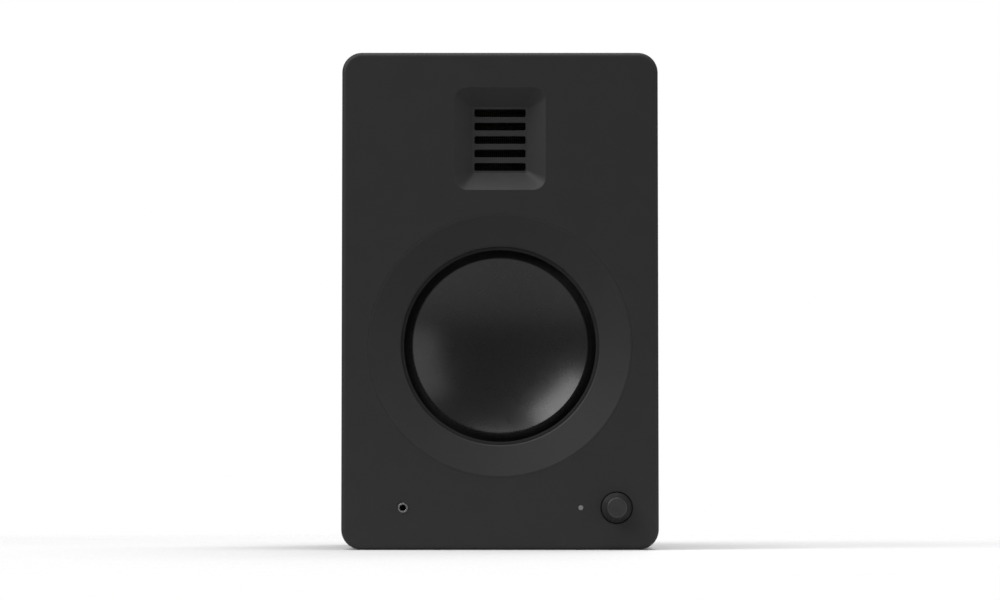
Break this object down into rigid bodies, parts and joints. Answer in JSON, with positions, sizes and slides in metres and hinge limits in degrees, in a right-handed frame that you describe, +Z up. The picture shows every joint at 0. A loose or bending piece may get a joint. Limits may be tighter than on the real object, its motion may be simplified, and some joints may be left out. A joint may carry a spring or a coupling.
{
  "type": "bookshelf speaker",
  "caption": "Compact powered two-way bookshelf speaker: matt black box, dished woofer, slotted folded-ribbon tweeter, front knob and rear amplifier panel.",
  "frame": {"origin": "centre of the cabinet's flat underside", "axes": "+Z up, -Y is the front with the drivers, +X to the right seen from the front"},
  "size_m": [0.175, 0.2494, 0.275],
  "materials": {
    "cabinet_black": "fine matt black lacquer film on fibreboard",
    "trim_black": "matt black moulded plastic",
    "raw_board": "raw fibreboard",
    "foam": "open cell foam",
    "plastic_black": "fine textured moulding",
    "gloss_black": "glossy moulding",
    "knob_black": "soft touch coating",
    "brass_insert": "turned",
    "screw_black": "black zinc",
    "basket_black": "black powder coat",
    "rubber_black": "matt rubber",
    "dish_black": "satin black coated aluminium",
    "former_alu": "thin rolled foil",
    "copper": "enamelled copper",
    "spider_cloth": "resin treated cotton",
    "plated_steel": "zinc plated",
    "ferrite": "sintered ferrite",
    "terminal_board": "phenolic board",
    "pleated_foil": "etched foil on polyimide",
    "magnet_nickel": "nickel plated",
    "circuit_green": "solder mask",
    "nickel": "bright nickel",
    "white_plastic": "moulded",
    "red_plastic": "moulded",
    "light_lens": "frosted clear light guide",
    "panel_black": "black anodised sheet",
    "gold": "gold plated",
    "sink_alu": "black anodised extrusion",
    "transformer_tape": "polyester tape over ferrite",
    "capacitor_sleeve": "shrink sleeve",
    "wire_jacket": "PVC jacket"
  },
  "bodies": {
    "root": {"cabinet_shell": "cabinet_black", "front_baffle": "cabinet_black", "rear_board": "cabinet_black", "window_brace": "raw_board", "acoustic_foam": "foam", "port_tube": "plastic_black", "stand_insert": "brass_insert", "woofer_trim_ring": "trim_black", "woofer_screws": "screw_black", "woofer_gasket": "rubber_black", "woofer_basket": "basket_black", "woofer_surround": "rubber_black", "woofer_spider": "spider_cloth", "woofer_top_plate": "plated_steel", "woofer_magnet": "ferrite", "woofer_yoke": "plated_steel", "woofer_terminals": "terminal_board", "woofer_leads": "copper", "tweeter_front_plate": "basket_black", "tweeter_frame": "plastic_black", "tweeter_diaphragm": "pleated_foil", "tweeter_magnets": "magnet_nickel", "tweeter_back_plate": "plated_steel", "tweeter_chamber": "plastic_black", "tweeter_screws": "screw_black", "control_board": "circuit_green", "encoder_body": "plated_steel", "headphone_jack": "plastic_black", "jack_ring": "nickel", "status_light": "light_lens", "amp_plate": "panel_black", "amp_plate_screws": "screw_black", "rca_shells": "gold", "rca_insulators": "white_plastic", "optical_socket": "plastic_black", "usb_socket": "nickel", "post_base": "plastic_black", "binding_posts": "gold", "mains_module": "plastic_black", "inlet_pins": "nickel", "amp_boards": "circuit_green", "board_standoffs": "gold", "heat_sink": "sink_alu", "power_transformer": "transformer_tape", "filter_capacitors": "capacitor_sleeve", "internal_wiring": "wire_jacket"},
    "woofer_cone": {"woofer_dish": "dish_black", "coil_former": "former_alu", "coil_winding": "copper"},
    "push_plunger": {"switch_plunger": "white_plastic"},
    "knob": {"volume_knob": "knob_black", "encoder_shaft": "nickel"},
    "rocker": {"power_rocker": "gloss_black"},
    "red_clamp": {"red_washer": "gold"},
    "red_cap": {"red_post_cap": "red_plastic"},
    "black_clamp": {"black_washer": "gold"},
    "black_cap": {"black_post_cap": "gloss_black"},
    "ground_clamp": {"ground_washer": "nickel"},
    "ground_thumbscrew": {"ground_screw": "nickel"},
    "optical_flap": {"optical_shutter": "plastic_black"}
  },
  "joints": [
    {"name": "woofer_stroke", "type": "slide", "parent": "root", "child": "woofer_cone", "axis": [0, -1, 0], "range_m": [-0.005, 0.005], "stiffness_N_per_m": 1200, "deforming": ["woofer_surround", "woofer_spider", "woofer_leads"]},
    {"name": "knob_push", "type": "slide", "parent": "root", "child": "push_plunger", "axis": [0, 1, 0], "range_m": [0, 0.0008], "stiffness_N_per_m": 3000},
    {"name": "knob_turn", "type": "hinge", "parent": "push_plunger", "child": "knob", "pos_m": [0.0642, -0.11, 0.023], "axis": [0, 1, 0], "continuous": true},
    {"name": "power_switch", "type": "hinge", "parent": "root", "child": "rocker", "pos_m": [-0.028, 0.1065, 0.063], "axis": [0, 0, 1], "range_deg": [-20, 0]},
    {"name": "red_travel", "type": "slide", "parent": "root", "child": "red_clamp", "axis": [0, 1, 0], "range_m": [0, 0.005]},
    {"name": "red_turn", "type": "hinge", "parent": "red_clamp", "child": "red_cap", "pos_m": [0.038, 0.1155, 0.078], "axis": [0, 1, 0], "range_deg": [0, 1800]},
    {"name": "black_travel", "type": "slide", "parent": "root", "child": "black_clamp", "axis": [0, 1, 0], "range_m": [0, 0.005]},
    {"name": "black_turn", "type": "hinge", "parent": "black_clamp", "child": "black_cap", "pos_m": [0.019, 0.1155, 0.078], "axis": [0, 1, 0], "range_deg": [0, 1800]},
    {"name": "ground_travel", "type": "slide", "parent": "root", "child": "ground_clamp", "axis": [0, 1, 0], "range_m": [0, 0.004]},
    {"name": "ground_turn", "type": "hinge", "parent": "ground_clamp", "child": "ground_thumbscrew", "pos_m": [0.002, 0.1095, 0.118], "axis": [0, 1, 0], "range_deg": [0, 1800]},
    {"name": "optical_shutter_swing", "type": "hinge", "parent": "root", "child": "optical_flap", "pos_m": [-0.016, 0.1084, 0.1307], "axis": [-1, 0, 0], "range_deg": [0, 80], "stiffness_Nm_per_rad": 0.001, "springref_deg": -17.19}
  ],
  "couplings": [
    {"joint": "red_turn", "follows": "red_travel", "rad_per_m": 6283},
    {"joint": "black_turn", "follows": "black_travel", "rad_per_m": 6283},
    {"joint": "ground_turn", "follows": "ground_travel", "rad_per_m": 7853}
  ]
}
